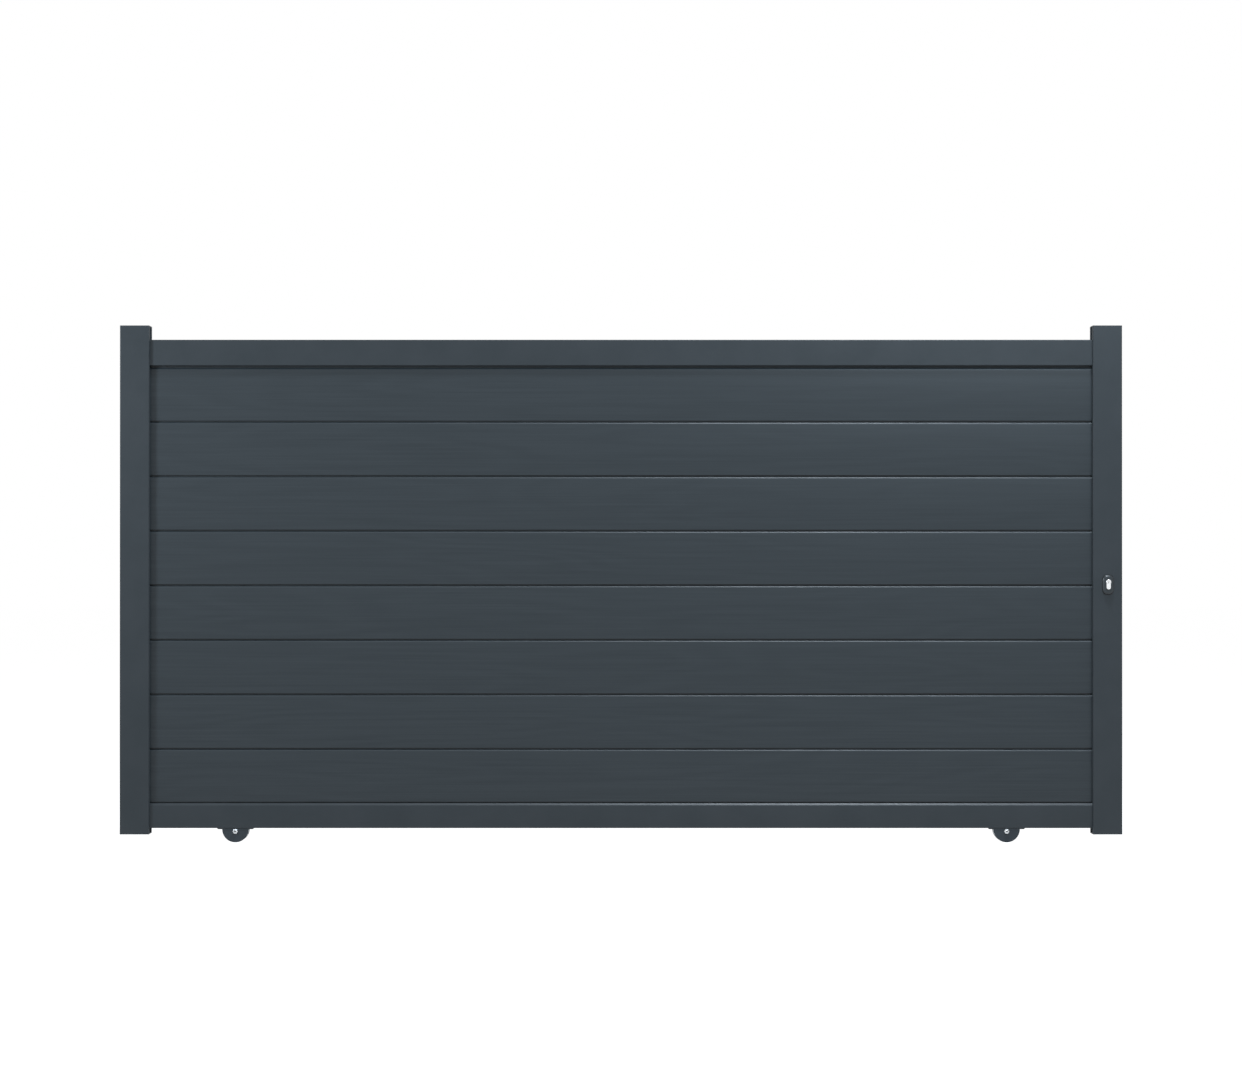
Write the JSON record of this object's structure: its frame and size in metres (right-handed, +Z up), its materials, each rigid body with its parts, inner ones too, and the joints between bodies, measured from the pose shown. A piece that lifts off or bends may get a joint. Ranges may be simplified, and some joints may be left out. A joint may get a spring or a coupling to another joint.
{
  "type": "sliding driveway gate leaf",
  "caption": "Sliding driveway gate leaf of horizontal coated aluminium boards between two stiles, with two grooved wheels and a cylinder lock.",
  "frame": {"origin": "on the closing face of the lock stile, at mid depth, level with the underside of the bottom rail", "axes": "+X out of the closing face, so the leaf runs towards -X; +Y from the street side to the yard side; +Z up"},
  "size_m": [3.5, 0.12, 1.806],
  "materials": {
    "coated_aluminium": "satin",
    "cap_plastic": "matte",
    "coated_zinc": "satin",
    "coated_steel": "satin",
    "zinc_plated_steel": "satin",
    "bright_steel": "satin",
    "nickel": "satin"
  },
  "bodies": {
    "leaf": {"right_stile": "coated_aluminium", "left_stile": "coated_aluminium", "right_stile_top_cap": "cap_plastic", "right_stile_foot_cap": "cap_plastic", "left_stile_top_cap": "cap_plastic", "left_stile_foot_cap": "cap_plastic", "top_rail": "coated_aluminium", "bottom_rail": "coated_aluminium", "lock_case": "bright_steel", "hook_bolt": "bright_steel", "lock_cylinder": "nickel", "front_escutcheon": "coated_zinc", "back_escutcheon": "coated_zinc", "board_1": "coated_aluminium", "board_2": "coated_aluminium", "board_3": "coated_aluminium", "board_4": "coated_aluminium", "board_5": "coated_aluminium", "board_6": "coated_aluminium", "board_7": "coated_aluminium", "board_8": "coated_aluminium", "left_roller_bracket": "coated_steel", "left_roller_fork": "zinc_plated_steel", "left_axle_bolt": "zinc_plated_steel", "left_axle_nut": "zinc_plated_steel", "right_roller_bracket": "coated_steel", "right_roller_fork": "zinc_plated_steel", "right_axle_bolt": "zinc_plated_steel", "right_axle_nut": "zinc_plated_steel"},
    "left_wheel_body": {"left_wheel": "zinc_plated_steel"},
    "right_wheel_body": {"right_wheel": "zinc_plated_steel"}
  },
  "joints": [
    {"name": "left_wheel_turn", "type": "hinge", "parent": "leaf", "child": "left_wheel_body", "pos_m": [-3.098, 0, -0.0115], "axis": [0, 1, 0], "continuous": true},
    {"name": "right_wheel_turn", "type": "hinge", "parent": "leaf", "child": "right_wheel_body", "pos_m": [-0.402, 0, -0.0115], "axis": [0, 1, 0], "continuous": true}
  ]
}
